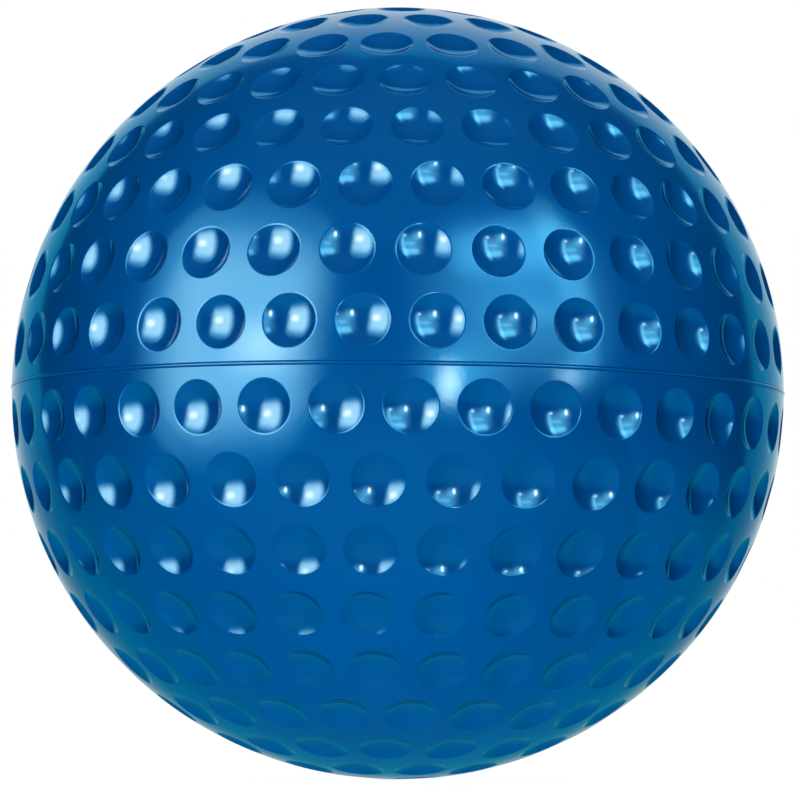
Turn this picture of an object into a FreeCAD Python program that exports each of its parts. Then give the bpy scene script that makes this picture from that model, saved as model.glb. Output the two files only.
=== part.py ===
import FreeCAD, Part
import math
import os

import Sketcher

# Inflatable rubber playground ball.
# Two dimpled half shells are cured together at the equator under a raised round bead.
# Behind them lie a thin rubber ply, a layer of wound nylon thread and an air bladder,
# and a self-sealing needle valve sits at the top pole.
# The origin is the centre of the ball, +Z runs up through the valve, and the seam lies in Z = 0.
# Millimetres and degrees.

DIMENSIONS = [
    # The wall, from outside to inside
    ("ball_radius", 108.0, "centre to the land between the dimples"),
    ("cover_thickness", 3.0, "moulded rubber cover, measured at the land"),
    ("ply_thickness", 0.3, "rubber backing sheet under the cover"),
    ("winding_thickness", 0.3, "layer of wound nylon thread"),
    ("bladder_thickness", 0.6, "butyl bladder"),
    # The joint at the equator
    ("bead_radius", 0.45, "round section of the seam bead"),
    ("bead_rise", 0.25, "height of the bead above the land"),
    ("tape_half_width", 6.0, "equator to the edge of the seam tape"),
    ("splice_half_width", 7.0, "equator to the edge of the bladder splice"),
    ("splice_thickness", 0.5, "bladder splice"),
    # The dimples
    ("dimple_radius", 7.0, "radius of a dimple's round edge"),
    ("dimple_depth", 2.1, "plane of the edge to the bottom of a dimple"),
    ("first_latitude", 5.74, "latitude of the row beside the seam"),
    ("row_pitch", 9.91, "latitude from one row to the next"),
    # The valve, whose radii are measured from the Z axis
    ("patch_radius", 20.0, "reinforcing patch round the valve"),
    ("patch_thickness", 0.5, "reinforcing patch round the valve"),
    ("neck_radius", 4.5, "neck of the boot, through the wall"),
    ("neck_recess", 0.3, "top of the neck below the top of the ball"),
    ("flange_radius", 13.0, "flange of the boot, bonded to the patch"),
    ("flange_thickness", 1.2, "flange of the boot"),
    ("barrel_radius", 5.2, "barrel of the boot, inside the bladder"),
    ("barrel_length", 13.0, "top of the neck to the end of the barrel"),
    ("head_radius", 3.2, "head and bulb of the core"),
    ("head_height", 1.0, "head of the core"),
    ("stem_radius", 2.3, "stem of the core"),
    ("stem_length", 5.5, "stem of the core, between head and bulb"),
    ("bulb_height", 3.0, "bulb that locks the core in the boot"),
    ("needle_radius", 1.25, "guide hole for the inflating needle"),
    ("needle_depth", 6.0, "length of the guide hole"),
]

# Each row of dimples from the seam towards a pole: how many dimples go round it, and how far
# the row is turned from the front (-Y) towards +X in the upper and in the lower half.
DIMPLE_ROWS = [
    (36, -4.8, 1.8),
    (34, 3.4, -2.6),
    (33, -5.2, -3.8),
    (30, -9.1, -4.6),
    (27, 0.8, -3.9),
    (22, -3.6, 4.0),
    (16, 9.3, -3.0),
    (10, 0.0, 15.0),
    (3, 0.0, 40.0),
]
# The last row is left out round the valve, where the land stays plain.
UPPER_ROWS = len(DIMPLE_ROWS) - 1
LOWER_ROWS = len(DIMPLE_ROWS)

# Radii of the spherical faces, as expressions of the sheet's cells
COVER_OUTSIDE = "sizes.ball_radius"
COVER_INSIDE = COVER_OUTSIDE + " - sizes.cover_thickness"
PLY_INSIDE = COVER_INSIDE + " - sizes.ply_thickness"
WINDING_INSIDE = PLY_INSIDE + " - sizes.winding_thickness"
BLADDER_INSIDE = WINDING_INSIDE + " - sizes.bladder_thickness"
SPLICE_INSIDE = BLADDER_INSIDE + " - sizes.splice_thickness"
PATCH_INSIDE = BLADDER_INSIDE + " - sizes.patch_thickness"
FLANGE_INSIDE = PATCH_INSIDE + " - sizes.flange_thickness"

BEAD_CENTRE = "sizes.ball_radius + sizes.bead_rise - sizes.bead_radius"

# Heights on the valve's axis
NECK_TOP = "sizes.ball_radius - sizes.neck_recess"
HEAD_BOTTOM = NECK_TOP + " - sizes.head_height"
BULB_TOP = HEAD_BOTTOM + " - sizes.stem_length"
BULB_BOTTOM = BULB_TOP + " - sizes.bulb_height"
NEEDLE_BOTTOM = NECK_TOP + " - sizes.needle_depth"
BARREL_BOTTOM = NECK_TOP + " - sizes.barrel_length"

# Sketcher's numbers for the ends of an edge, the origin and the axes
EDGE_START = 1
EDGE_END = 2
ARC_CENTRE = 3
ORIGIN = (-1, 1)
ACROSS_AXIS = -1
UP_AXIS = -2

CENTRE = FreeCAD.Vector(0, 0, 0)
UP = FreeCAD.Vector(0, 0, 1)
TOLERANCE = 1e-6
MIRRORED_AT_LEAST = 1.999

doc = FreeCAD.newDocument("playground_ball")
sizes = doc.addObject("Spreadsheet::Sheet", "sizes")


def fill_sheet():
    """Write every driving dimension to the sheet, with its alias and what it measures."""
    rows = list(DIMENSIONS)
    for number, (count, upper_turn, lower_turn) in enumerate(DIMPLE_ROWS, start=1):
        rows.append((f"count_of_row_{number}", count, "dimples round the row"))
        rows.append((f"upper_turn_of_row_{number}", upper_turn, "turn of the row, upper half"))
        rows.append((f"lower_turn_of_row_{number}", lower_turn, "turn of the row, lower half"))
    for line, (alias, value, meaning) in enumerate(rows, start=1):
        sizes.set(f"A{line}", alias)
        sizes.set(f"B{line}", str(value))
        sizes.set(f"C{line}", meaning)
        sizes.setAlias(f"B{line}", alias)
    doc.recompute()


def value_of(expression):
    """The number that an expression of the sheet's cells gives."""
    return float(sizes.evalExpression(expression))


def origin_plane(body, role):
    """One of a body's own origin planes, found by its role."""
    for feature in body.Origin.OriginFeatures:
        if feature.Role == role:
            return feature
    raise ValueError(f"{body.Label} has no {role}")


def bind(sketch, constraint, name, expression):
    """Add a dimension to a sketch, name it and bind it to the sheet."""
    index = sketch.addConstraint(constraint)
    sketch.renameConstraint(index, name)
    sketch.setExpression(f"Constraints.{name}", expression)


def corner_place(across, up, radius):
    """Coordinates of a corner, where a missing one follows from the arc that meets it."""
    if across is None:
        height = value_of(up)
        return FreeCAD.Vector(math.sqrt(radius ** 2 - height ** 2), height, 0)
    width = value_of(across)
    if up is None:
        return FreeCAD.Vector(width, math.sqrt(radius ** 2 - width ** 2), 0)
    return FreeCAD.Vector(width, value_of(up), 0)


def fix_corner(sketch, edge, end, number, corner):
    """Fix a corner, which is one end of an edge, by its distances from the axes."""
    for expression, axis, kind, name in (
            (corner[0], UP_AXIS, "DistanceX", f"across_{number}"),
            (corner[1], ACROSS_AXIS, "DistanceY", f"up_{number}")):
        if expression is None:
            continue
        distance = value_of(expression)
        if distance < TOLERANCE:
            sketch.addConstraint(Sketcher.Constraint("PointOnObject", edge, end, axis))
        else:
            dimension = Sketcher.Constraint(kind, *ORIGIN, edge, end, distance)
            bind(sketch, dimension, name, expression)


def add_edge(sketch, start, end, radius):
    """Draw one edge, and return which of its ends lies at the start and which at the end."""
    if radius is None:
        sketch.addGeometry(Part.LineSegment(start, end), False)
        return EDGE_START, EDGE_END
    circle = Part.Circle(CENTRE, UP, radius)
    start_angle = math.atan2(start.y, start.x)
    end_angle = math.atan2(end.y, end.x)
    sketch.addGeometry(Part.ArcOfCircle(circle, *sorted((start_angle, end_angle))), False)
    if start_angle < end_angle:
        return EDGE_START, EDGE_END
    return EDGE_END, EDGE_START


def draw_outline(sketch, outline):
    """Draw a closed outline and bind its dimensions.

    Each entry is (across, up, radius): a corner, and the radius of the arc about the centre
    of the ball that leads to the next corner, or None for a straight edge. A coordinate that
    is None follows from the arc that meets the corner.
    """
    radii = [value_of(radius) if radius else None for across, up, radius in outline]
    places = []
    for number, (across, up, radius) in enumerate(outline):
        places.append(corner_place(across, up, radii[number] or radii[number - 1]))
    ends = []
    for number, radius in enumerate(radii):
        following = places[(number + 1) % len(places)]
        ends.append(add_edge(sketch, places[number], following, radius))
    for number, (across, up, radius) in enumerate(outline):
        following = (number + 1) % len(outline)
        sketch.addConstraint(Sketcher.Constraint(
            "Coincident", number, ends[number][1], following, ends[following][0]))
        fix_corner(sketch, number, ends[number][0], number, (across, up))
        if radius is not None:
            sketch.addConstraint(Sketcher.Constraint("Coincident", number, ARC_CENTRE, *ORIGIN))
            size = Sketcher.Constraint("Radius", number, radii[number])
            bind(sketch, size, f"radius_{number}", radius)


def new_sketch(body, name, role):
    """A sketch on one of the body's own origin planes."""
    sketch = body.newObject("Sketcher::SketchObject", name)
    sketch.AttachmentSupport = [(origin_plane(body, role), "")]
    sketch.MapMode = "FlatFace"
    return sketch


def turn_about_axis(body, kind, name, sketch):
    """Turn a sketch once about Z, as a Revolution that adds or a Groove that cuts."""
    feature = body.newObject(f"PartDesign::{kind}", name)
    feature.Profile = sketch
    feature.ReferenceAxis = (sketch, ["V_Axis"])
    feature.Angle = 360.0
    body.Tip = feature
    doc.recompute()


def turned_body(name, outline):
    """A body turned about Z from an outline in the plane of X and Z."""
    body = doc.addObject("PartDesign::Body", name)
    sketch = new_sketch(body, f"{name}_outline", "XZ_Plane")
    draw_outline(sketch, outline)
    turn_about_axis(body, "Revolution", f"{name}_turned", sketch)
    return body


def check_cut(body, before):
    """Stop if a cut took nothing away."""
    if body.Shape.Volume > before - TOLERANCE:
        raise RuntimeError(f"nothing was cut from {body.Label}")


def bore_for_neck(body):
    """Cut the round hole that the valve's neck passes through."""
    before = body.Shape.Volume
    sketch = new_sketch(body, f"{body.Name}_hole", "XY_Plane")
    radius = value_of("sizes.neck_radius")
    sketch.addGeometry(Part.Circle(CENTRE, UP, radius), False)
    sketch.addConstraint(Sketcher.Constraint("Coincident", 0, ARC_CENTRE, *ORIGIN))
    size = Sketcher.Constraint("Radius", 0, radius)
    bind(sketch, size, "hole_radius", "sizes.neck_radius")
    pocket = body.newObject("PartDesign::Pocket", f"{body.Name}_bored")
    pocket.Profile = sketch
    pocket.Type = "ThroughAll"
    pocket.Reversed = True
    body.Tip = pocket
    doc.recompute()
    check_cut(body, before)


def mirror_down(body):
    """Add the mirror image below the equator to a body's upper half."""
    half = body.Shape.Volume
    mirrored = body.newObject("PartDesign::Mirrored", f"{body.Name}_mirrored")
    mirrored.Originals = [body.Tip]
    mirrored.MirrorPlane = (origin_plane(body, "XY_Plane"), [""])
    body.Tip = mirrored
    doc.recompute()
    if body.Shape.Volume < MIRRORED_AT_LEAST * half:
        raise RuntimeError(f"{body.Label} was not mirrored")


def turn_over(body):
    """Turn an upper half over, to make it the lower one."""
    body.Placement.Rotation = FreeCAD.Rotation(FreeCAD.Vector(1, 0, 0), 180)


def half_shell(name, outside, inside, edge="0"):
    """The upper half of a spherical layer, from a height above the equator to the pole."""
    return turned_body(name, [
        (None, edge, outside),
        ("0", None, None),
        ("0", None, inside),
        (None, edge, None),
    ])


def equator_band(name, outside, inside, half_width):
    """A band round the inside of the equator."""
    body = turned_body(name, [
        (None, "0", outside),
        (None, half_width, None),
        (None, half_width, inside),
        (None, "0", None),
    ])
    mirror_down(body)
    return body


def bead_section(body, name):
    """A sketch of the bead's round section, partly sunk into the joint."""
    sketch = new_sketch(body, name, "XZ_Plane")
    radius = value_of("sizes.bead_radius")
    distance = value_of(BEAD_CENTRE)
    sketch.addGeometry(Part.Circle(FreeCAD.Vector(distance, 0, 0), UP, radius), False)
    sketch.addConstraint(Sketcher.Constraint("PointOnObject", 0, ARC_CENTRE, ACROSS_AXIS))
    place = Sketcher.Constraint("DistanceX", *ORIGIN, 0, ARC_CENTRE, distance)
    bind(sketch, place, "bead_centre", BEAD_CENTRE)
    size = Sketcher.Constraint("Radius", 0, radius)
    bind(sketch, size, "bead_radius", "sizes.bead_radius")
    return sketch


def groove_for_bead(body):
    """Cut the half-round groove that the bead lies in."""
    before = body.Shape.Volume
    sketch = bead_section(body, f"{body.Name}_groove")
    turn_about_axis(body, "Groove", f"{body.Name}_grooved", sketch)
    check_cut(body, before)


def dimple_tool(name, half, turn_name, row_count):
    """The balls that press one half's dimples, as one compound.

    half is 1 above the equator and -1 below it.
    """
    edge = value_of("sizes.dimple_radius")
    depth = value_of("sizes.dimple_depth")
    ball = (edge ** 2 + depth ** 2) / (2 * depth)
    edge_plane = math.sqrt(value_of("sizes.ball_radius") ** 2 - edge ** 2)
    distance = edge_plane - depth + ball
    balls = []
    for number in range(1, row_count + 1):
        latitude = half * value_of(f"sizes.first_latitude + {number - 1} * sizes.row_pitch")
        count = int(value_of(f"sizes.count_of_row_{number}"))
        turn = value_of(f"sizes.{turn_name}_{number}")
        for index in range(count):
            around = FreeCAD.Rotation(UP, turn + index * 360 / count - 90)
            raised = FreeCAD.Rotation(FreeCAD.Vector(0, 1, 0), -latitude)
            facing = around * raised
            # The ball's own seam line lies on its X axis, which faces away from the dimple.
            pressing = Part.makeSphere(ball)
            centre = facing.multVec(FreeCAD.Vector(distance, 0, 0))
            pressing.Placement = FreeCAD.Placement(centre, facing)
            balls.append(pressing)
    tool = doc.addObject("Part::Feature", name)
    tool.Shape = Part.makeCompound(balls)
    return tool


def press_dimples(name, blank, tool):
    """Cut the dimples into a plain cover."""
    cover = doc.addObject("Part::Cut", name)
    cover.Base = blank
    cover.Tool = tool
    doc.recompute()
    check_cut(cover, blank.Shape.Volume)
    return cover


def make_upper_cover():
    """The dimpled half shell above the seam, with a plain pad round the valve."""
    blank = half_shell("upper_cover_blank", COVER_OUTSIDE, COVER_INSIDE)
    bore_for_neck(blank)
    groove_for_bead(blank)
    tool = dimple_tool("upper_dimples", 1, "upper_turn_of_row", UPPER_ROWS)
    return press_dimples("upper_cover", blank, tool)


def make_lower_cover():
    """The dimpled half shell below the seam."""
    blank = half_shell("lower_cover_blank", COVER_OUTSIDE, COVER_INSIDE)
    groove_for_bead(blank)
    turn_over(blank)
    tool = dimple_tool("lower_dimples", -1, "lower_turn_of_row", LOWER_ROWS)
    return press_dimples("lower_cover", blank, tool)


def make_seam_bead():
    """The round bead that stands proud of the joint."""
    body = doc.addObject("PartDesign::Body", "seam_bead")
    sketch = bead_section(body, "seam_bead_section")
    turn_about_axis(body, "Revolution", "seam_bead_turned", sketch)
    return body


def make_seam_tape():
    """The rubberised tape behind the joint, level with the ply."""
    return equator_band("seam_tape", COVER_INSIDE, PLY_INSIDE, "sizes.tape_half_width")


def make_upper_ply():
    """The upper backing sheet, which ends at the tape."""
    body = half_shell("upper_ply", COVER_INSIDE, PLY_INSIDE, "sizes.tape_half_width")
    bore_for_neck(body)
    return body


def make_lower_ply():
    """The lower backing sheet, which ends at the tape."""
    body = half_shell("lower_ply", COVER_INSIDE, PLY_INSIDE, "sizes.tape_half_width")
    turn_over(body)
    return body


def make_winding():
    """The nylon thread, wound all over the bladder but for the valve, as one thin layer."""
    body = half_shell("nylon_winding", PLY_INSIDE, WINDING_INSIDE)
    mirror_down(body)
    bore_for_neck(body)
    return body


def make_upper_bladder():
    """The upper half of the air bladder."""
    body = half_shell("upper_bladder", WINDING_INSIDE, BLADDER_INSIDE)
    bore_for_neck(body)
    return body


def make_lower_bladder():
    """The lower half of the air bladder."""
    body = half_shell("lower_bladder", WINDING_INSIDE, BLADDER_INSIDE)
    turn_over(body)
    return body


def make_bladder_splice():
    """The band that joins the bladder's halves from inside."""
    return equator_band("bladder_splice", BLADDER_INSIDE, SPLICE_INSIDE, "sizes.splice_half_width")


def make_valve_patch():
    """The reinforcing ring inside the bladder, between it and the boot's flange."""
    return turned_body("valve_patch", [
        ("sizes.neck_radius", None, None),
        ("sizes.neck_radius", None, PATCH_INSIDE),
        ("sizes.patch_radius", None, None),
        ("sizes.patch_radius", None, BLADDER_INSIDE),
    ])


def make_valve_boot():
    """The soft housing: a neck through the wall, a flange under the patch and a barrel."""
    return turned_body("valve_boot", [
        ("sizes.head_radius", NECK_TOP, None),
        ("sizes.neck_radius", NECK_TOP, None),
        ("sizes.neck_radius", None, PATCH_INSIDE),
        ("sizes.flange_radius", None, None),
        ("sizes.flange_radius", None, FLANGE_INSIDE),
        ("sizes.barrel_radius", None, None),
        ("sizes.barrel_radius", BARREL_BOTTOM, None),
        ("sizes.needle_radius", BARREL_BOTTOM, None),
        ("sizes.needle_radius", BULB_BOTTOM, None),
        ("sizes.head_radius", BULB_BOTTOM, None),
        ("sizes.head_radius", BULB_TOP, None),
        ("sizes.stem_radius", BULB_TOP, None),
        ("sizes.stem_radius", HEAD_BOTTOM, None),
        ("sizes.head_radius", HEAD_BOTTOM, None),
    ])


def make_valve_core():
    """The self-sealing plug: a head, a stem with the needle's guide hole, and a bulb."""
    return turned_body("valve_core", [
        ("0", BULB_BOTTOM, None),
        ("sizes.head_radius", BULB_BOTTOM, None),
        ("sizes.head_radius", BULB_TOP, None),
        ("sizes.stem_radius", BULB_TOP, None),
        ("sizes.stem_radius", HEAD_BOTTOM, None),
        ("sizes.head_radius", HEAD_BOTTOM, None),
        ("sizes.head_radius", NECK_TOP, None),
        ("sizes.needle_radius", NECK_TOP, None),
        ("sizes.needle_radius", NEEDLE_BOTTOM, None),
        ("0", NEEDLE_BOTTOM, None),
    ])


def check_document():
    """Stop if any object failed or any sub-part has no sound solid."""
    doc.recompute()
    for item in doc.Objects:
        if "Invalid" in item.State or "Error" in item.State:
            raise RuntimeError(f"{item.Label} failed: {item.State}")
    for node in nodes:
        if node.Shape.isNull() or not node.Shape.isValid() or len(node.Shape.Solids) != 1:
            raise RuntimeError(f"{node.Label} is not one valid solid")


fill_sheet()
nodes = [
    make_upper_cover(),
    make_lower_cover(),
    make_seam_bead(),
    make_seam_tape(),
    make_upper_ply(),
    make_lower_ply(),
    make_winding(),
    make_upper_bladder(),
    make_lower_bladder(),
    make_bladder_splice(),
    make_valve_patch(),
    make_valve_boot(),
    make_valve_core(),
]
check_document()
os.makedirs("parts", exist_ok=True)
for node in nodes:
    node.Shape.exportStep(f"parts/{node.Label}.step")
    print(f"{node.Label}: {node.Shape.Volume:.0f} mm3")
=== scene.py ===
import math

import bpy
import numpy as np
from mathutils import Matrix, Vector
from mathutils.geometry import delaunay_2d_cdt


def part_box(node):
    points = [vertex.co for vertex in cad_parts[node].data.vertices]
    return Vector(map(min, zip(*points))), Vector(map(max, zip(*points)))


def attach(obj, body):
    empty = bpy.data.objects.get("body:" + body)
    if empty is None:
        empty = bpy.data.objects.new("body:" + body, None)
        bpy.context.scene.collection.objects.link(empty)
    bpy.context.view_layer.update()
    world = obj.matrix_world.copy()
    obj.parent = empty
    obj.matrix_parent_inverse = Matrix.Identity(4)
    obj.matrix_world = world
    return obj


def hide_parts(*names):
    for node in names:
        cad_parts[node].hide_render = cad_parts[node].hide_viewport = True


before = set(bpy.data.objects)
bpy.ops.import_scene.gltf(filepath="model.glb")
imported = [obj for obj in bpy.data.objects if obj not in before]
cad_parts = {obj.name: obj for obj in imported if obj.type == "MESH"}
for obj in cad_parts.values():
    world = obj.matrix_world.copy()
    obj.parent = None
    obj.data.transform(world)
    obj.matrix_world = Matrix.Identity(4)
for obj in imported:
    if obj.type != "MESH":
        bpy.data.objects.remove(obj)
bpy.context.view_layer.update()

# A blue dimpled playground ball. Metres, with +Z up through the valve and -Y at the front.
# The covers are rebuilt as fine closed shells whose dimples have softly rounded edges.

MM = 0.001
GOLDEN_ANGLE = math.pi * (3 - math.sqrt(5))

# Driving sizes, the same as the CAD model's. The neck is the valve's hole in the upper cover.
BALL_RADIUS = -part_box("lower_cover")[0].z
COVER_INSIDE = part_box("seam_tape")[1].x
BEAD_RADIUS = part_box("seam_bead")[1].z
BEAD_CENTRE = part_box("seam_bead")[1].x - BEAD_RADIUS
NECK_RADIUS = 4.5 * MM
DIMPLE_RADIUS = 7.0 * MM
DIMPLE_DEPTH = 2.1 * MM
FIRST_LATITUDE = 5.74
ROW_PITCH = 9.91

# The rows of dimples, from the seam outwards: how many there are in the row, and how many
# degrees its first one stands round from the front, above the seam and below it
DIMPLE_ROWS = [
    (36, -4.8, 1.8),
    (34, 3.4, -2.6),
    (33, -5.2, -3.8),
    (30, -9.1, -4.6),
    (27, 0.8, -3.9),
    (22, -3.6, 4.0),
    (16, 9.3, -3.0),
    (10, 0.0, 15.0),
    (3, 0.0, 40.0),
]
UPPER_ROWS = len(DIMPLE_ROWS) - 1
LOWER_ROWS = len(DIMPLE_ROWS)

# Radii of the softened edges
DIMPLE_EDGE = 1.0 * MM
SEAM_EDGE = 0.2 * MM
NECK_EDGE = 0.3 * MM

# Fineness of the meshes
DIMPLE_SIDES = 36
EDGE_STEPS = 3
CAP_STEPS = 5
GROOVE_STEPS = 5
SEAM_SIDES = 288
NECK_SIDES = 48
TUBE_SIDES = 20
SAME_POINT = 1e-9

# Points spread over the land and the lining: how far apart they are, how far they keep from
# the rings of the dimples and the neck, and how far above the border they begin
LAND_SPACING = 2.2 * MM
LAND_MARGIN = 0.45 * LAND_SPACING
LAND_GAP = LAND_SPACING / 2
LINING_SPACING = 7.0 * MM
LINING_MARGIN = 0.3 * LINING_SPACING
LINING_GAP = LINING_SPACING / 3


class Shell:
    """A mesh in the making, with the true normal of every vertex."""

    def __init__(self):
        self.points = []
        self.normals = []
        self.faces = []

    def add(self, points, normals):
        """Add vertices and return their numbers."""
        first = sum(len(part) for part in self.points)
        self.points.append(np.asarray(points, float))
        self.normals.append(np.asarray(normals, float))
        return np.arange(first, first + len(points))

    def strip(self, outer, inner):
        """Join two rings of as many vertices, the outer one further from the axis they share."""
        for a, b, c, d in zip(outer, np.roll(outer, -1), np.roll(inner, -1), inner):
            self.faces.append((a, b, c, d))

    def fan(self, ring, centre):
        """Close a ring on its centre."""
        for a, b in zip(ring, np.roll(ring, -1)):
            self.faces.append((a, b, centre))

    def build(self, name, mirrored=False):
        """Make the object; a mirrored one is turned into its image below the equator."""
        points = np.concatenate(self.points)
        normals = np.concatenate(self.normals)
        faces = [tuple(int(i) for i in face) for face in self.faces]
        if mirrored:
            points = points * (1, 1, -1)
            normals = normals * (1, 1, -1)
            faces = [face[::-1] for face in faces]
        mesh = bpy.data.meshes.new(name)
        mesh.from_pydata(points.tolist(), [], faces)
        mesh.validate()
        mesh.polygons.foreach_set("use_smooth", [True] * len(mesh.polygons))
        mesh.normals_split_custom_set_from_vertices(normals.tolist())
        piece = bpy.data.objects.new(name, mesh)
        bpy.context.scene.collection.objects.link(piece)
        return piece


def circle(sides):
    """Angles of the vertices of a ring."""
    return np.arange(sides) * 2 * math.pi / sides


def ring_about(axes, sides, radius, height):
    """Points of a ring about the third of three axes, at a height along it."""
    across, along, up = axes
    angles = circle(sides)[:, None]
    return radius * (np.cos(angles) * across + np.sin(angles) * along) + height * up


def arc(centre, radius, start, end, steps):
    """Points of a short arc in a plane, its ends included, and their directions from its centre."""
    first = math.atan2(start[1] - centre[1], start[0] - centre[0])
    last = math.atan2(end[1] - centre[1], end[0] - centre[0])
    angles = np.linspace(first, last, steps + 1)
    outward = np.stack([np.cos(angles), np.sin(angles)], axis=1)
    return np.asarray(centre) + radius * outward, outward


def tangent_centre(radius_a, centre_b, radius_b):
    """Where two circles cross: one about the origin, one about a point of the first axis."""
    along = (radius_a ** 2 - radius_b ** 2 + centre_b ** 2) / (2 * centre_b)
    return along, math.sqrt(radius_a ** 2 - along ** 2)


def dimple_profile():
    """A dimple's section from the land to its bottom, as points and normals (out, up)."""
    cap = (DIMPLE_RADIUS ** 2 + DIMPLE_DEPTH ** 2) / (2 * DIMPLE_DEPTH)
    cap_centre = math.sqrt(BALL_RADIUS ** 2 - DIMPLE_RADIUS ** 2) - DIMPLE_DEPTH + cap
    up, out = tangent_centre(BALL_RADIUS - DIMPLE_EDGE, cap_centre, cap + DIMPLE_EDGE)
    edge = np.array([out, up])
    on_land = edge * BALL_RADIUS / (BALL_RADIUS - DIMPLE_EDGE)
    top = np.array([0, cap_centre])
    on_cap = top + (edge - top) * cap / (cap + DIMPLE_EDGE)
    edge_points, edge_normals = arc(edge, DIMPLE_EDGE, on_land, on_cap, EDGE_STEPS)
    slope = math.atan2(on_cap[0], cap_centre - on_cap[1])
    slopes = np.linspace(slope, 0, CAP_STEPS + 1)[1:]
    inward = np.stack([-np.sin(slopes), np.cos(slopes)], axis=1)
    cap_points = top - cap * inward
    return np.concatenate([edge_points, cap_points]), np.concatenate([edge_normals, inward])


def dimple_axes(half, row_count):
    """The three axes of every dimple of one half, as if that half lay above the equator."""
    for number, (count, upper_turn, lower_turn) in enumerate(DIMPLE_ROWS[:row_count]):
        latitude = math.radians(FIRST_LATITUDE + number * ROW_PITCH)
        turn = upper_turn if half > 0 else lower_turn
        for index in range(count):
            longitude = math.radians(turn + index * 360 / count - 90)
            up = np.array([math.cos(latitude) * math.cos(longitude),
                           math.cos(latitude) * math.sin(longitude), math.sin(latitude)])
            across = np.array([-math.sin(longitude), math.cos(longitude), 0])
            yield across, np.cross(up, across), up


def press_dimple(shell, axes, profile, normals):
    """Add one dimple and return its outermost ring."""
    rings = []
    for (out, up), (normal_out, normal_up) in zip(profile[:-1], normals[:-1]):
        points = ring_about(axes, DIMPLE_SIDES, out, up)
        facing = ring_about(axes, DIMPLE_SIDES, normal_out, normal_up)
        rings.append(shell.add(points, facing))
    for outer, inner in zip(rings, rings[1:]):
        shell.strip(outer, inner)
    bottom = shell.add([axes[2] * profile[-1][1]], [axes[2]])
    shell.fan(rings[-1], bottom[0])
    return rings[0]


def even_points(spacing, radius, lowest):
    """Points spread evenly over the upper half of a sphere, above a height."""
    count = int(2 * math.pi * radius ** 2 / spacing ** 2)
    height = 1 - (np.arange(count) + 0.5) / count
    angle = np.arange(count) * GOLDEN_ANGLE
    width = np.sqrt(1 - height ** 2)
    points = radius * np.stack([width * np.cos(angle), width * np.sin(angle), height], axis=1)
    return points[points[:, 2] > lowest]


def clear_of(points, holes, margin):
    """The points that stand clear of round holes, given as (axis, angular radius)."""
    directions = points / np.linalg.norm(points, axis=1)[:, None]
    keep = np.ones(len(points), bool)
    for axis, angle in holes:
        keep &= directions @ axis < math.cos(angle + margin)
    return points[keep]


def skin(shell, border, rings, fill, inward=False):
    """Cover the sphere between a border ring, the rings of the holes and the fill points."""
    sign = -1 if inward else 1
    unit = fill / np.linalg.norm(fill, axis=1)[:, None]
    inner = shell.add(fill, sign * unit)
    points = np.concatenate(shell.points)
    outlines = [border] + rings
    used = np.concatenate(outlines + [inner])
    owner = np.concatenate([np.full(len(ring), number) for number, ring in enumerate(outlines)]
                           + [np.full(len(inner), -1)])
    # Projected from the far pole, the half sphere lies flat with nothing folded over.
    directions = points[used] / np.linalg.norm(points[used], axis=1)[:, None]
    flat = directions[:, :2] / (1 + directions[:, 2:])
    edges = []
    start = 0
    for ring in outlines:
        edges += [(start + i, start + (i + 1) % len(ring)) for i in range(len(ring))]
        start += len(ring)
    result = delaunay_2d_cdt([Vector(p) for p in flat], edges, [], 0, SAME_POINT)
    source = [ids[0] for ids in result[3]]
    for face in result[2]:
        corners = [source[i] for i in face]
        owners = {int(owner[i]) for i in corners}
        in_a_hole = len(owners) == 1 and owners.pop() > 0
        if not in_a_hole:
            a, b, c = (int(used[i]) for i in corners)
            shell.faces.append((a, c, b) if inward else (a, b, c))


def level_ring(shell, sides, radius, height, normal_out, normal_up):
    """A ring about the ball's own axis."""
    axes = np.eye(3)
    points = ring_about(axes, sides, radius, height)
    return shell.add(points, ring_about(axes, sides, normal_out, normal_up))


def seam_edge(shell):
    """The soft edge of the land, the groove under the bead and the flat butt face.

    Gives the ring where the land ends, the ring where the lining begins, and the land's height.
    """
    edge = np.array(tangent_centre(BALL_RADIUS - SEAM_EDGE, BEAD_CENTRE, BEAD_RADIUS + SEAM_EDGE))
    on_land = edge * BALL_RADIUS / (BALL_RADIUS - SEAM_EDGE)
    middle = np.array([BEAD_CENTRE, 0])
    in_groove = middle + (edge - middle) * BEAD_RADIUS / (BEAD_RADIUS + SEAM_EDGE)
    points, normals = arc(edge, SEAM_EDGE, on_land, in_groove, EDGE_STEPS)
    first = math.atan2(*(in_groove - middle)[::-1])
    angles = np.linspace(first, math.pi, GROOVE_STEPS + 1)[1:]
    groove = [middle + BEAD_RADIUS * np.array([math.cos(t), math.sin(t)]) for t in angles]
    rings = [level_ring(shell, SEAM_SIDES, *p, *n) for p, n in zip(points, normals)]
    rings += [level_ring(shell, SEAM_SIDES, *p, 0, -1) for p in groove]
    rings.append(level_ring(shell, SEAM_SIDES, COVER_INSIDE, 0, 0, -1))
    for upper, lower in zip(rings, rings[1:]):
        shell.strip(lower, upper)
    return rings[0], rings[-1], on_land[1]


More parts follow.
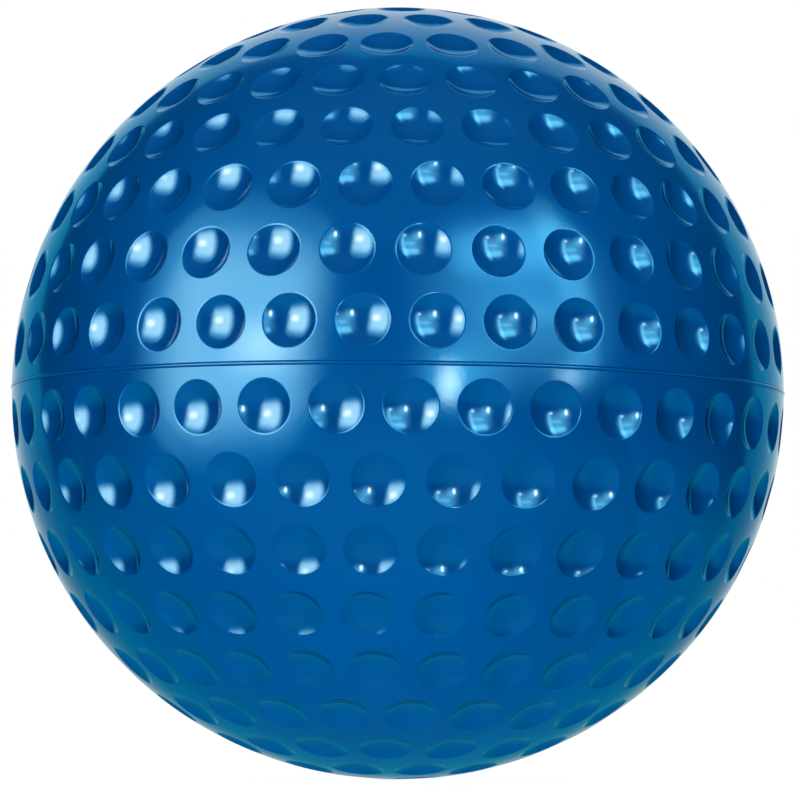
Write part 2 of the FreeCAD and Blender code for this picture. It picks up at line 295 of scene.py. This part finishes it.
def neck_wall(shell):
    """The soft edge and the straight wall of the neck's hole.

    Gives the ring on the land and the ring on the lining, each with its angular radius.
    """
    out = NECK_RADIUS + NECK_EDGE
    edge = np.array([out, math.sqrt((BALL_RADIUS - NECK_EDGE) ** 2 - out ** 2)])
    on_land = edge * BALL_RADIUS / (BALL_RADIUS - NECK_EDGE)
    on_wall = edge - np.array([NECK_EDGE, 0])
    points, normals = arc(edge, NECK_EDGE, on_land, on_wall, EDGE_STEPS)
    rings = [level_ring(shell, NECK_SIDES, *p, *n) for p, n in zip(points, normals)]
    low = math.sqrt(COVER_INSIDE ** 2 - NECK_RADIUS ** 2)
    rings.append(level_ring(shell, NECK_SIDES, NECK_RADIUS, low, -1, 0))
    for upper, lower in zip(rings, rings[1:]):
        shell.strip(upper, lower)
    return (rings[0], math.atan2(*points[0])), (rings[-1], math.atan2(NECK_RADIUS, low))


def cover(name, half, row_count, bored):
    """One dimpled half shell: land, dimples, seam edge, butt face, lining and neck hole."""
    shell = Shell()
    profile, normals = dimple_profile()
    dimple_angle = math.atan2(*profile[0])
    land_rings = []
    land_holes = []
    for axes in dimple_axes(half, row_count):
        land_rings.append(press_dimple(shell, axes, profile, normals))
        land_holes.append((axes[2], dimple_angle))
    land_border, lining_border, land_end = seam_edge(shell)
    lining_rings = []
    lining_holes = []
    if bored:
        pole = np.array([0, 0, 1])
        (land_ring, land_angle), (lining_ring, lining_angle) = neck_wall(shell)
        land_rings.append(land_ring)
        land_holes.append((pole, land_angle))
        lining_rings.append(lining_ring)
        lining_holes.append((pole, lining_angle))
    land = even_points(LAND_SPACING, BALL_RADIUS, land_end + LAND_GAP)
    land = clear_of(land, land_holes, LAND_MARGIN / BALL_RADIUS)
    skin(shell, land_border, land_rings, land)
    lining = even_points(LINING_SPACING, COVER_INSIDE, LINING_GAP)
    lining = clear_of(lining, lining_holes, LINING_MARGIN / COVER_INSIDE)
    skin(shell, lining_border, lining_rings, lining, inward=True)
    return shell.build(name, mirrored=half < 0)


def seam_bead():
    """The round bead, as a ring of fine section."""
    shell = Shell()
    rings = []
    for angle in circle(TUBE_SIDES):
        out = math.cos(angle)
        up = math.sin(angle)
        rings.append(level_ring(shell, SEAM_SIDES, BEAD_CENTRE + BEAD_RADIUS * out,
                                BEAD_RADIUS * up, out, up))
    for lower, upper in zip(rings, rings[1:] + rings[:1]):
        shell.strip(lower, upper)
    return shell.build("seam_bead_soft")


upper = cover("upper_cover_dimpled", 1, UPPER_ROWS, True)
lower = cover("lower_cover_dimpled", -1, LOWER_ROWS, False)
bead = seam_bead()


# Blue rubber. The shine is a roughness, and the polish is the weight of the clear top gloss.
BLUE_DARK = (0.0, 0.103, 0.385)
BLUE_LIGHT = (0.0, 0.119, 0.425)
BLUE_GLOSS = (0.0, 0.64, 1.0)
BLUE_IOR = 1.7
MOTTLE_SCALE = 18.0
SHINE = (0.12, 0.16)
SHINE_SCALE = 55.0
LAND_DULLING = 0.03
DIMPLE_POLISH = 0.9
LAND_POLISH = 0.36
POLISH_ROUGHNESS = 0.08
POLISH_IOR = 1.65
WEAR_DEPTH = 0.8 * MM
PEEL_SCALE = 900.0
PEEL_STRENGTH = 0.10
PEEL_DEPTH = 0.1 * MM
WAVE_SCALE = 90.0
WAVE_STRENGTH = 0.12
WAVE_DEPTH = 0.4 * MM

# Plain rubber: name, dark and light colours, shine, and the grain's scale and depth
PLAIN_RUBBERS = [
    ("black_butyl", (0.025, 0.025, 0.027), (0.04, 0.04, 0.043), 0.42, 500.0, 0.1 * MM),
    ("tan_ply", (0.40, 0.30, 0.19), (0.50, 0.38, 0.25), 0.72, 900.0, 0.2 * MM),
    ("grey_patch", (0.06, 0.06, 0.065), (0.09, 0.09, 0.095), 0.65, 1200.0, 0.2 * MM),
    ("black_valve_rubber", (0.016, 0.016, 0.018), (0.03, 0.03, 0.033), 0.4, 1500.0, 0.1 * MM),
    ("tan_core_rubber", (0.26, 0.24, 0.20), (0.34, 0.32, 0.27), 0.5, 1500.0, 0.1 * MM),
]
PLAIN_MOTTLE_SCALE = 60.0
PLAIN_SHINE_SCALE = 140.0
PLAIN_SHINE_CHANGE = 0.05
GRAIN_STRENGTH = 0.5

# Nylon thread. The gap colour is painted shade, darkening the grooves between the threads.
THREAD_DIRECTIONS = 5
THREAD_PITCH = 0.9 * MM
THREAD_PAINTED_SHADE = (0.46, 0.42, 0.34)
THREAD_TOP = (0.84, 0.82, 0.76)
THREAD_SHINE = (0.42, 0.55)
THREAD_SHINE_SCALE = 200.0
THREAD_BUMP = 0.8
THREAD_SHEEN = 0.3

# Woven tape. The gap colour is painted shade, darkening the grooves of the weave.
TAPE_PITCH = 0.7 * MM
TAPE_PAINTED_SHADE = (0.05, 0.05, 0.055)
TAPE_TOP = (0.13, 0.13, 0.14)
TAPE_SHINE = (0.6, 0.75)
TAPE_SHINE_SCALE = 120.0
TAPE_BUMP = 0.6

# Most noise values lie between these
NOISE_LOW = 0.3
NOISE_HIGH = 0.7

# Where the colour sockets of a Mix node stand, among the ones of other kinds
MIX_FIRST_COLOUR = 6
MIX_SECOND_COLOUR = 7
MIX_RESULT_COLOUR = 2


def node_tree(material):
    """Clear a material's nodes, and give its tree and a new Principled shader in it."""
    material.use_nodes = True
    tree = material.node_tree
    tree.nodes.clear()
    output = tree.nodes.new("ShaderNodeOutputMaterial")
    shader = tree.nodes.new("ShaderNodeBsdfPrincipled")
    tree.links.new(shader.outputs["BSDF"], output.inputs["Surface"])
    return tree, shader


def link_or_set(tree, socket, value):
    """Join a value to a socket, or set the socket to a plain number."""
    if isinstance(value, (int, float)):
        socket.default_value = value
    else:
        tree.links.new(value, socket)


def maths(tree, operation, *values):
    """The result of a Math node."""
    node = tree.nodes.new("ShaderNodeMath")
    node.operation = operation
    for socket, value in zip(node.inputs, values):
        link_or_set(tree, socket, value)
    return node.outputs[0]


def ramp(tree, value, start, end, low=0.0, high=1.0):
    """A smooth rise from low to high as a value goes from start to end."""
    node = tree.nodes.new("ShaderNodeMapRange")
    node.interpolation_type = "SMOOTHSTEP"
    node.inputs["From Min"].default_value = start
    node.inputs["From Max"].default_value = end
    node.inputs["To Min"].default_value = low
    node.inputs["To Max"].default_value = high
    link_or_set(tree, node.inputs["Value"], value)
    return node.outputs["Result"]


def noise(tree, vector, scale, detail=3.0, roughness=0.5):
    """A noise texture's value over the object."""
    texture = tree.nodes.new("ShaderNodeTexNoise")
    texture.inputs["Scale"].default_value = scale
    texture.inputs["Detail"].default_value = detail
    texture.inputs["Roughness"].default_value = roughness
    tree.links.new(vector, texture.inputs["Vector"])
    return texture.outputs["Fac"]


def spread(tree, value, low, high):
    """Map a noise value, which stays near the middle, onto low to high."""
    mapping = tree.nodes.new("ShaderNodeMapRange")
    mapping.inputs["From Min"].default_value = NOISE_LOW
    mapping.inputs["From Max"].default_value = NOISE_HIGH
    mapping.inputs["To Min"].default_value = low
    mapping.inputs["To Max"].default_value = high
    tree.links.new(value, mapping.inputs["Value"])
    return mapping.outputs["Result"]


def blend_colours(tree, amount, first, second):
    """A colour between two plain ones, by an amount that varies over the surface."""
    mix = tree.nodes.new("ShaderNodeMix")
    mix.data_type = "RGBA"
    tree.links.new(amount, mix.inputs["Factor"])
    mix.inputs[MIX_FIRST_COLOUR].default_value = (*first, 1)
    mix.inputs[MIX_SECOND_COLOUR].default_value = (*second, 1)
    return mix.outputs[MIX_RESULT_COLOUR]


def bump(tree, height, strength, distance, before=None):
    """Raise or lower the shading by a height that varies over the surface."""
    node = tree.nodes.new("ShaderNodeBump")
    node.inputs["Strength"].default_value = strength
    node.inputs["Distance"].default_value = distance
    tree.links.new(height, node.inputs["Height"])
    if before is not None:
        tree.links.new(before, node.inputs["Normal"])
    return node.outputs["Normal"]


def new_material(name):
    """A material, with its tree, its shader and the object's own coordinates."""
    material = bpy.data.materials.new(name)
    tree, shader = node_tree(material)
    return material, tree, shader, tree.nodes.new("ShaderNodeTexCoord").outputs["Object"]


def cover_material():
    """Glossy moulded rubber: clear blue, faintly mottled, with a fine orange peel.

    A tinted gloss lies under a clearer one, as in polished coloured rubber. The land between
    the dimples is a little duller, because it is what touches hands and ground.
    """
    material, tree, shader, place = new_material("blue_rubber")
    mottle = spread(tree, noise(tree, place, MOTTLE_SCALE, 4.0), 0.0, 1.0)
    tree.links.new(blend_colours(tree, mottle, BLUE_DARK, BLUE_LIGHT), shader.inputs["Base Color"])
    distance = tree.nodes.new("ShaderNodeVectorMath")
    distance.operation = "LENGTH"
    tree.links.new(place, distance.inputs[0])
    radius = distance.outputs["Value"]
    dulling = ramp(tree, radius, BALL_RADIUS - WEAR_DEPTH, BALL_RADIUS, 0.0, LAND_DULLING)
    patches = spread(tree, noise(tree, place, SHINE_SCALE, 3.0), *SHINE)
    tree.links.new(maths(tree, "ADD", patches, dulling), shader.inputs["Roughness"])
    polish = ramp(tree, radius, BALL_RADIUS - WEAR_DEPTH, BALL_RADIUS, DIMPLE_POLISH, LAND_POLISH)
    tree.links.new(polish, shader.inputs["Coat Weight"])
    peel = bump(tree, noise(tree, place, PEEL_SCALE, 2.0), PEEL_STRENGTH, PEEL_DEPTH)
    waves = bump(tree, noise(tree, place, WAVE_SCALE, 1.0), WAVE_STRENGTH, WAVE_DEPTH, peel)
    tree.links.new(waves, shader.inputs["Normal"])
    tree.links.new(waves, shader.inputs["Coat Normal"])
    shader.inputs["IOR"].default_value = BLUE_IOR
    shader.inputs["Specular Tint"].default_value = (*BLUE_GLOSS, 1.0)
    shader.inputs["Coat Roughness"].default_value = POLISH_ROUGHNESS
    shader.inputs["Coat IOR"].default_value = POLISH_IOR
    return material


def plain_rubber(name, dark, light, shine, grain_scale, grain_depth):
    """Matt to satin rubber: mottled, with patchy shine and a fine grain."""
    material, tree, shader, place = new_material(name)
    mottle = spread(tree, noise(tree, place, PLAIN_MOTTLE_SCALE, 4.0), 0.0, 1.0)
    tree.links.new(blend_colours(tree, mottle, dark, light), shader.inputs["Base Color"])
    patches = spread(tree, noise(tree, place, PLAIN_SHINE_SCALE, 2.0),
                     shine - PLAIN_SHINE_CHANGE, shine + PLAIN_SHINE_CHANGE)
    tree.links.new(patches, shader.inputs["Roughness"])
    grain = bump(tree, noise(tree, place, grain_scale, 3.0), GRAIN_STRENGTH, grain_depth)
    tree.links.new(grain, shader.inputs["Normal"])
    return material


def stripes(tree, place, axis, pitch):
    """Round ridges, 0 to 1, that run round an axis, a pitch apart."""
    along = tree.nodes.new("ShaderNodeVectorMath")
    along.operation = "DOT_PRODUCT"
    along.inputs[1].default_value = axis
    tree.links.new(place, along.inputs[0])
    phase = maths(tree, "MULTIPLY", along.outputs["Value"], math.pi / pitch)
    return maths(tree, "ABSOLUTE", maths(tree, "SINE", phase))


def thread_material():
    """Nylon thread wound round the bladder in many directions, bonded with latex."""
    material, tree, shader, place = new_material("wound_nylon")
    height = 0.0
    for number in range(THREAD_DIRECTIONS):
        turn = number * GOLDEN_ANGLE
        lean = math.pi * (number + 0.5) / (2 * THREAD_DIRECTIONS)
        axis = (math.sin(lean) * math.cos(turn), math.sin(lean) * math.sin(turn), math.cos(lean))
        height = maths(tree, "MAXIMUM", height, stripes(tree, place, axis, THREAD_PITCH))
    # The colour goes from the painted shade in the gaps to the threads' own colour on their tops.
    tree.links.new(blend_colours(tree, height, THREAD_PAINTED_SHADE, THREAD_TOP), shader.inputs["Base Color"])
    tree.links.new(bump(tree, height, THREAD_BUMP, THREAD_PITCH / 4), shader.inputs["Normal"])
    shine = spread(tree, noise(tree, place, THREAD_SHINE_SCALE, 2.0), *THREAD_SHINE)
    tree.links.new(shine, shader.inputs["Roughness"])
    shader.inputs["Sheen Weight"].default_value = THREAD_SHEEN
    return material


def tape_material():
    """Rubberised woven tape: threads across it and round the ball."""
    material, tree, shader, place = new_material("woven_tape")
    across = stripes(tree, place, (0.0, 0.0, 1.0), TAPE_PITCH)
    parts = tree.nodes.new("ShaderNodeSeparateXYZ")
    tree.links.new(place, parts.inputs[0])
    angle = maths(tree, "ARCTAN2", parts.outputs["Y"], parts.outputs["X"])
    threads_round = round(COVER_INSIDE * math.pi / TAPE_PITCH)
    wave = maths(tree, "SINE", maths(tree, "MULTIPLY", angle, threads_round))
    weave = maths(tree, "MAXIMUM", across, maths(tree, "ABSOLUTE", wave))
    # The colour goes from the painted shade in the gaps of the weave to the threads' colour on top.
    tree.links.new(blend_colours(tree, weave, TAPE_PAINTED_SHADE, TAPE_TOP), shader.inputs["Base Color"])
    tree.links.new(bump(tree, weave, TAPE_BUMP, TAPE_PITCH / 5), shader.inputs["Normal"])
    shine = spread(tree, noise(tree, place, TAPE_SHINE_SCALE, 2.0), *TAPE_SHINE)
    tree.links.new(shine, shader.inputs["Roughness"])
    return material


def dress(piece, material, node):
    """Give a piece its material and its body, and hide the CAD node that it stands for."""
    piece.data.materials.clear()
    piece.data.materials.append(material)
    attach(piece, "root")
    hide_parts(node)


blue = cover_material()
dress(upper, blue, "upper_cover")
dress(lower, blue, "lower_cover")
dress(bead, blue, "seam_bead")

# The CAD nodes that stay
rubber = {name: plain_rubber(name, *looks) for name, *looks in PLAIN_RUBBERS}
KEPT_NODES = {
    "seam_tape": tape_material(),
    "upper_ply": rubber["tan_ply"],
    "lower_ply": rubber["tan_ply"],
    "nylon_winding": thread_material(),
    "upper_bladder": rubber["black_butyl"],
    "lower_bladder": rubber["black_butyl"],
    "bladder_splice": rubber["black_butyl"],
    "valve_patch": rubber["grey_patch"],
    "valve_boot": rubber["black_valve_rubber"],
    "valve_core": rubber["tan_core_rubber"],
}
for name, material in KEPT_NODES.items():
    for material_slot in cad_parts[name].material_slots:
        material_slot.material = material


# What the ball reflects. Behind it stands an arched pale backdrop, whitest at its middle and
# blue at its edge. The room is dim, and the table below gives back the ball's own blue.
# Angles are in degrees, round from straight behind the ball and up from level. A pair gives
# where a change starts and where it is complete.
ARCH_HALF_WIDTH = 53.0
ARCH_NARROWS_ABOVE = 10.0
ARCH_NARROWING = 0.50
ARCH_TOP = 68.0
ARCH_EDGE = 1.5
ARCH_FOOT = (-26.0, 4.0)
ARCH_LEAN = 4.0
ARCH_LEAN_RISE = (0.0, 12.0)
ARCH_GLOW_ACROSS = (46.0, 8.0)
ARCH_GLOW_UP = (72.0, 30.0)
ARCH_MIDDLE = 0.95
ARCH_RIM = 0.8
ARCH_MIDDLE_COLOUR = (0.78, 0.94, 1.0)
ARCH_RIM_COLOUR = (0.02, 0.64, 1.0)
ROOM = 0.02
TABLE_COLOUR = (0.0, 0.6, 0.85)
TABLE = 0.6
TABLE_EDGE = (-4.0, -24.0)
WHITE = (1.0, 1.0, 1.0)


def background(tree, colour, strength):
    """A Background shader."""
    node = tree.nodes.new("ShaderNodeBackground")
    if isinstance(colour, tuple):
        node.inputs["Color"].default_value = (*colour, 1)
    else:
        tree.links.new(colour, node.inputs["Color"])
    link_or_set(tree, node.inputs["Strength"], strength)
    return node.outputs["Background"]


def backdrop(tree, azimuth, elevation):
    """The arch and the dim room round it."""
    # The left side of the arch draws in above its foot, by twice the lean.
    lean = ramp(tree, elevation, *ARCH_LEAN_RISE, 0.0, ARCH_LEAN)
    side = maths(tree, "ADD", maths(tree, "ABSOLUTE", maths(tree, "SUBTRACT", azimuth, lean)), lean)
    above = maths(tree, "MAXIMUM", maths(tree, "SUBTRACT", elevation, ARCH_NARROWS_ABOVE), 0.0)
    limit = maths(tree, "SUBTRACT", ARCH_HALF_WIDTH, maths(tree, "MULTIPLY", above, ARCH_NARROWING))
    within = ramp(tree, maths(tree, "SUBTRACT", limit, side), 0.0, ARCH_EDGE)
    top = ramp(tree, elevation, ARCH_TOP, ARCH_TOP - ARCH_EDGE)
    foot = ramp(tree, elevation, *ARCH_FOOT)
    arch = maths(tree, "MULTIPLY", within, maths(tree, "MULTIPLY", top, foot))
    middle = maths(tree, "MULTIPLY", ramp(tree, side, *ARCH_GLOW_ACROSS),
                   ramp(tree, elevation, *ARCH_GLOW_UP))
    glow = ramp(tree, middle, 0.0, 1.0, ARCH_RIM, ARCH_MIDDLE)
    strength = maths(tree, "MAXIMUM", maths(tree, "MULTIPLY", arch, glow), ROOM)
    colour = blend_colours(tree, middle, ARCH_RIM_COLOUR, ARCH_MIDDLE_COLOUR)
    return background(tree, colour, strength)


def world_light():
    """The backdrop, the room and the table, as the ball sees them; the camera sees plain white."""
    world = bpy.data.worlds.new("studio")
    bpy.context.scene.world = world
    world.use_nodes = True
    tree = world.node_tree
    tree.nodes.clear()
    output = tree.nodes.new("ShaderNodeOutputWorld")
    parts = tree.nodes.new("ShaderNodeSeparateXYZ")
    tree.links.new(tree.nodes.new("ShaderNodeTexCoord").outputs["Generated"], parts.inputs[0])
    degree = math.degrees(1)
    turn = maths(tree, "ARCTAN2", parts.outputs["X"], parts.outputs["Y"])
    azimuth = maths(tree, "MULTIPLY", turn, degree)
    elevation = maths(tree, "MULTIPLY", maths(tree, "ARCSINE", parts.outputs["Z"]), degree)
    table = background(tree, TABLE_COLOUR, ramp(tree, elevation, *TABLE_EDGE, 0.0, TABLE))
    both = tree.nodes.new("ShaderNodeAddShader")
    tree.links.new(backdrop(tree, azimuth, elevation), both.inputs[0])
    tree.links.new(table, both.inputs[1])
    path = tree.nodes.new("ShaderNodeLightPath")
    mix = tree.nodes.new("ShaderNodeMixShader")
    tree.links.new(path.outputs["Is Camera Ray"], mix.inputs["Fac"])
    tree.links.new(both.outputs[0], mix.inputs[1])
    tree.links.new(background(tree, WHITE, 1.0), mix.inputs[2])
    tree.links.new(mix.outputs[0], output.inputs["Surface"])


LIGHT_DISTANCE = 1.5
SOFT = (1.0, 0.85, 0.74)
WARM = (1.0, 0.52, 0.34)
COOL = (0.35, 0.9, 1.0)

# Name, azimuth from the front towards +X, elevation, width and height as seen from the ball,
# in degrees, radiance at its middle, colour, and how much of each half fades out (across, up).
# The oval lamps show in the gloss; the plain panels only light the surface softly.
LAMPS = [
    ("left_softbox", -49.5, 14, 64, 78, 2.7, COOL, (0.45, 0.55)),
    ("left_softbox_core", -47, 12, 56, 62, 4.9, SOFT, (0.6, 0.65)),
    ("left_hot_spot", -38, 9, 30, 22, 10.5, WARM, (1.0, 1.0)),
    ("right_softbox", 35, 21, 68, 60, 3.5, COOL, (1.0, 1.0)),
    ("right_strip", 53, 24, 14, 56, 3.6, COOL, (0.8, 0.5)),
    ("right_top_bar", 38, 36, 44, 20, 4.0, COOL, (0.5, 0.8)),
    ("right_thin_bar", 36, 18, 30, 9, 2.0, COOL, (0.6, 1.0)),
    ("right_low_lamp", 48, 2, 12, 8, 9.0, WHITE, (1.0, 1.0)),
    ("small_lamp", 14, -1, 10, 17, 22.0, SOFT, (1.0, 1.0)),
    ("small_lamp_glow", 18, 2, 36, 30, 3.2, COOL, (1.0, 1.0)),
]
FILLS = [
    ("front_fill", -8, -25, 70, 60, 2.2, WHITE),
    ("top_fill", 0, 66, 60, 60, 1.85, WHITE),
]


def fade_light(lamp, fade):
    """Fade a light's own face towards its edges, like a softbox."""
    lamp.use_nodes = True
    tree = lamp.node_tree
    emission = tree.nodes["Emission"]
    place = tree.nodes.new("ShaderNodeNewGeometry").outputs["Parametric"]
    parts = tree.nodes.new("ShaderNodeSeparateXYZ")
    tree.links.new(place, parts.inputs[0])
    strength = 1.0
    for socket, share in (("X", fade[0]), ("Y", fade[1])):
        for edge, full in ((0, share / 2), (1, 1 - share / 2)):
            rise = ramp(tree, parts.outputs[socket], edge, full)
            strength = maths(tree, "MULTIPLY", strength, rise)
    tree.links.new(strength, emission.inputs["Strength"])


def area_light(name, shape, azimuth, elevation, width, height, radiance, colour):
    """A flat light that faces the ball."""
    lamp = bpy.data.lights.new(name, "AREA")
    lamp.shape = shape
    lamp.size = 2 * LIGHT_DISTANCE * math.tan(math.radians(width / 2))
    lamp.size_y = 2 * LIGHT_DISTANCE * math.tan(math.radians(height / 2))
    share = math.pi / 4 if shape == "ELLIPSE" else 1
    lamp.energy = radiance * math.pi * share * lamp.size * lamp.size_y
    lamp.color = colour
    holder = bpy.data.objects.new(name, lamp)
    bpy.context.scene.collection.objects.link(holder)
    a = math.radians(azimuth)
    e = math.radians(elevation)
    towards = Vector((math.sin(a) * math.cos(e), -math.cos(a) * math.cos(e), math.sin(e)))
    holder.location = towards * LIGHT_DISTANCE
    holder.rotation_euler = towards.to_track_quat("Z", "Y").to_euler()
    holder.visible_camera = False
    return holder


world_light()
for name, *sizes, fade in LAMPS:
    oval = area_light(name, "ELLIPSE", *sizes)
    oval.visible_diffuse = False
    fade_light(oval.data, fade)
for name, *sizes in FILLS:
    panel = area_light(name, "RECTANGLE", *sizes)
    panel.visible_glossy = False


FLOOR_HALF = 8.0
FLOOR_DARK = (0.27, 0.27, 0.27)
FLOOR_LIGHT = (0.30, 0.30, 0.295)
FLOOR_PATCH_SCALE = 3.0
FLOOR_ROUGHNESS = 0.9
FLOOR_GLOW = 0.98


def floor():
    """A wide pale floor under the ball, which glows until it looks as white as the backdrop."""
    mesh = bpy.data.meshes.new("floor")
    corners = [(-1, -1), (1, -1), (1, 1), (-1, 1)]
    points = [(x * FLOOR_HALF, y * FLOOR_HALF, -BALL_RADIUS) for x, y in corners]
    mesh.from_pydata(points, [], [(0, 1, 2, 3)])
    ground = bpy.data.objects.new("floor", mesh)
    bpy.context.scene.collection.objects.link(ground)
    material, tree, shader, place = new_material("pale_floor")
    shade = spread(tree, noise(tree, place, FLOOR_PATCH_SCALE), 0.0, 1.0)
    tree.links.new(blend_colours(tree, shade, FLOOR_DARK, FLOOR_LIGHT), shader.inputs["Base Color"])
    shader.inputs["Roughness"].default_value = FLOOR_ROUGHNESS
    shader.inputs["Specular IOR Level"].default_value = 0.0
    shader.inputs["Emission Color"].default_value = (*WHITE, 1.0)
    shader.inputs["Emission Strength"].default_value = FLOOR_GLOW
    mesh.materials.append(material)
    ground.visible_glossy = False
    ground.visible_diffuse = False


floor()

# The camera's distance is in metres, its angles in degrees, its lens and sensor in millimetres,
# and its shift in shares of the picture's width
CAMERA_DISTANCE = 8.7 * BALL_RADIUS
CAMERA_BELOW = 4.1
CAMERA_ROLL = 0.55
SENSOR_WIDTH = 36.0
FOCAL_LENGTH = 150.15
SHIFT_X = 0.0028
SHIFT_Y = -0.0083


def camera():
    """A long lens, a little below the ball's middle, that looks up at it."""
    lens = bpy.data.cameras.new("camera")
    lens.sensor_width = SENSOR_WIDTH
    lens.lens = FOCAL_LENGTH
    lens.shift_x = SHIFT_X
    lens.shift_y = SHIFT_Y
    holder = bpy.data.objects.new("camera", lens)
    bpy.context.scene.collection.objects.link(holder)
    down = math.radians(CAMERA_BELOW)
    back = Vector((0, -math.cos(down), -math.sin(down)))
    holder.location = back * CAMERA_DISTANCE
    facing = back.to_track_quat("Z", "Y").to_matrix().to_4x4()
    roll = Matrix.Rotation(math.radians(CAMERA_ROLL), 4, "Z")
    holder.rotation_euler = (facing @ roll).to_euler()
    bpy.context.scene.camera = holder


camera()
bpy.context.scene.view_settings.view_transform = "Standard"
